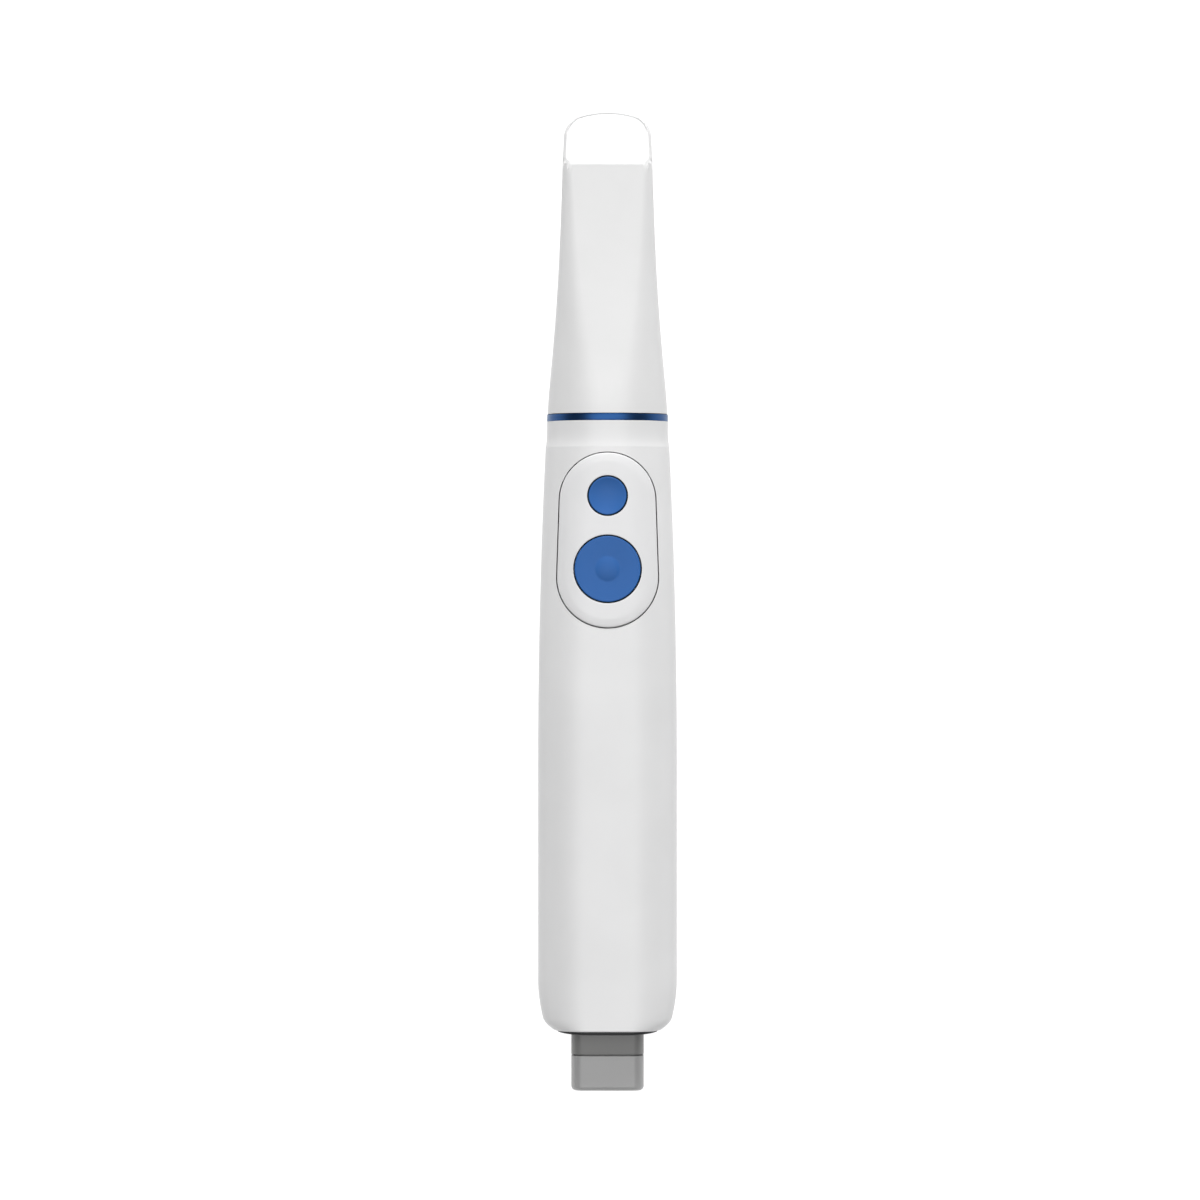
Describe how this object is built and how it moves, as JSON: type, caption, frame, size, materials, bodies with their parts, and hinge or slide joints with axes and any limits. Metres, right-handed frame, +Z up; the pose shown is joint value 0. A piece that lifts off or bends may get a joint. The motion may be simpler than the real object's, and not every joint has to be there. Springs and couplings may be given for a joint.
{
  "type": "intraoral scanner",
  "caption": "Wand-shaped dental scanner with a pull-off hollow scan tip with a mirror and underside window, a rounded grip with push buttons on a raised panel, and a tail connector.",
  "frame": {"origin": "on the surface the wand lies on, at the middle of its length and width", "axes": "+Y along the wand towards the scan tip, +Z up out of the buttons, X across the grip"},
  "size_m": [0.0346, 0.2448, 0.0342],
  "materials": {
    "white_shell": "satin moulded housing",
    "white_tip": "satin moulded sleeve",
    "white_panel": "soft satin",
    "accent_blue": "anodised metallic blue",
    "button_blue": "satin blue",
    "mirror": "front-coated mirror",
    "nose_black": "matte black",
    "window_glass": "coated clear window",
    "lens_glass": "coated lens",
    "seal_rubber": "rubber seal",
    "optics_metal": "machined",
    "barrel_black": "black anodised",
    "board_green": "circuit board",
    "chip_black": "moulded chip",
    "switch_black": "moulded switch",
    "screw_steel": "plain steel",
    "tail_dark": "dark grey",
    "connector_grey": "satin grey",
    "insert_black": "moulded insert",
    "contact_gold": "gold plated"
  },
  "bodies": {
    "handle": {"accent_ring": "accent_blue", "nose_collar": "white_shell", "nose_tube": "nose_black", "nose_window": "window_glass", "nose_seal": "seal_rubber", "front_shell": "white_shell", "rear_shell": "white_shell", "button_panel": "white_panel", "small_switch": "switch_black", "large_switch": "switch_black", "button_board": "board_green", "button_board_screws": "screw_steel", "optics_block": "optics_metal", "optics_screws": "screw_steel", "projector_barrel": "barrel_black", "projector_lens": "lens_glass", "left_camera_barrel": "barrel_black", "left_camera_lens": "lens_glass", "right_camera_barrel": "barrel_black", "right_camera_lens": "lens_glass", "left_camera_board": "board_green", "right_camera_board": "board_green", "projector_board": "board_green", "heat_sink": "optics_metal", "main_board": "board_green", "board_chips": "chip_black", "board_screws": "screw_steel", "tail_plate": "tail_dark", "connector_collar": "connector_grey", "connector_shell": "connector_grey", "connector_insert": "insert_black", "connector_contacts": "contact_gold", "connector_board": "board_green"},
    "tip": {"tip_shell": "white_tip", "tip_mirror": "mirror"},
    "small_button": {"small_button": "button_blue", "small_switch_plunger": "switch_black"},
    "large_button": {"large_button": "button_blue", "large_switch_plunger": "switch_black"}
  },
  "joints": [
    {"name": "tip_pull_off", "type": "slide", "parent": "handle", "child": "tip", "axis": [0, 1, 0], "range_m": [0, 0.06]},
    {"name": "small_button_press", "type": "slide", "parent": "handle", "child": "small_button", "axis": [0, 0, -1], "range_m": [0, 0.0006], "stiffness_N_per_m": 900},
    {"name": "large_button_press", "type": "slide", "parent": "handle", "child": "large_button", "axis": [0, 0, -1], "range_m": [0, 0.0006], "stiffness_N_per_m": 1200}
  ]
}
